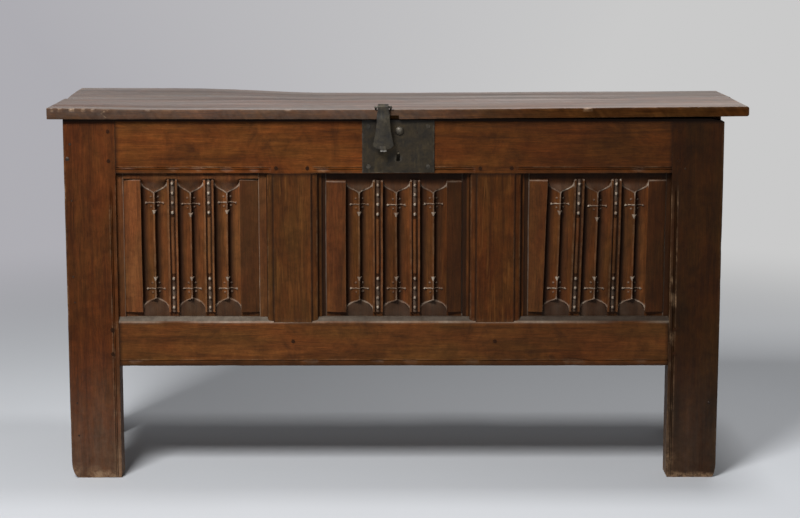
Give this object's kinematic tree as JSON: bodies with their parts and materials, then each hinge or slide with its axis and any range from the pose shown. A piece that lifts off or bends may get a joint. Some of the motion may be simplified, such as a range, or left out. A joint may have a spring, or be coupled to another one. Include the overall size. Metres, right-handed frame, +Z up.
{
  "type": "coffer chest",
  "caption": "Joined oak coffer with carved linenfold front panels, hinged boarded lid, iron lock plate and hanging hasp, standing on stiles that run down as feet.",
  "frame": {"origin": "on the floor, under the middle of the bounding box", "axes": "+X along the chest's width to the right seen from the front, +Y to the back, +Z up"},
  "size_m": [1.336, 0.4248, 0.7355],
  "materials": {
    "oak_frame": "old waxed oak, dark brown, worn paler on its edges",
    "oak_carved": "old waxed oak, carved, with dust in the hollows",
    "oak_plain": "old oak, plain boards",
    "oak_floor": "dry unwaxed oak boards",
    "oak_pegs": "cleft oak pegs, end grain",
    "oak_lid": "old oak boards, greyed by use",
    "wrought_iron": "forged iron, dark, slightly rusted"
  },
  "bodies": {
    "case": {"front_left_stile": "oak_frame", "front_right_stile": "oak_frame", "rear_left_stile": "oak_frame", "rear_right_stile": "oak_frame", "front_top_rail": "oak_frame", "front_bottom_rail": "oak_frame", "rear_top_rail": "oak_frame", "rear_bottom_rail": "oak_frame", "front_left_muntin": "oak_frame", "front_right_muntin": "oak_frame", "rear_left_muntin": "oak_frame", "rear_right_muntin": "oak_frame", "left_end_top_rail": "oak_frame", "left_end_bottom_rail": "oak_frame", "right_end_top_rail": "oak_frame", "right_end_bottom_rail": "oak_frame", "front_left_panel": "oak_carved", "front_centre_panel": "oak_carved", "front_right_panel": "oak_carved", "rear_left_panel": "oak_plain", "rear_centre_panel": "oak_plain", "rear_right_panel": "oak_plain", "left_end_panel": "oak_plain", "right_end_panel": "oak_plain", "floor_board_1": "oak_floor", "floor_board_2": "oak_floor", "floor_board_3": "oak_floor", "floor_board_4": "oak_floor", "floor_board_5": "oak_floor", "front_frame_pegs": "oak_pegs", "rear_frame_pegs": "oak_pegs", "end_frame_pegs": "oak_pegs", "left_hinge_leaf": "wrought_iron", "right_hinge_leaf": "wrought_iron", "left_hinge_pin": "wrought_iron", "right_hinge_pin": "wrought_iron", "leaf_nails": "wrought_iron", "lock_plate": "wrought_iron", "lock_plate_nails": "wrought_iron", "lock_boss": "wrought_iron", "lock_bolt_guides": "wrought_iron", "lock_spring": "wrought_iron", "lock_cap": "wrought_iron", "lock_drill_pin": "wrought_iron"},
    "lid": {"lid_front_board": "oak_lid", "lid_rear_board": "oak_lid", "lid_dowels": "oak_pegs", "left_hinge_strap": "wrought_iron", "right_hinge_strap": "wrought_iron", "strap_nails": "wrought_iron", "hasp_staple": "wrought_iron"},
    "hasp": {"hasp": "wrought_iron", "hasp_catch": "wrought_iron"},
    "bolt": {"lock_bolt": "wrought_iron"}
  },
  "joints": [
    {"name": "lid_hinge", "type": "hinge", "parent": "case", "child": "lid", "pos_m": [-0.008, 0.20695, 0.7005], "axis": [-1, 0, 0], "range_deg": [0, 100]},
    {"name": "hasp_hinge", "type": "hinge", "parent": "lid", "child": "hasp", "pos_m": [-0.028, -0.20295, 0.7295], "axis": [-1, 0, 0], "range_deg": [-11, 240]},
    {"name": "bolt_slide", "type": "slide", "parent": "case", "child": "bolt", "axis": [-1, 0, 0], "range_m": [0, 0.016]}
  ]
}
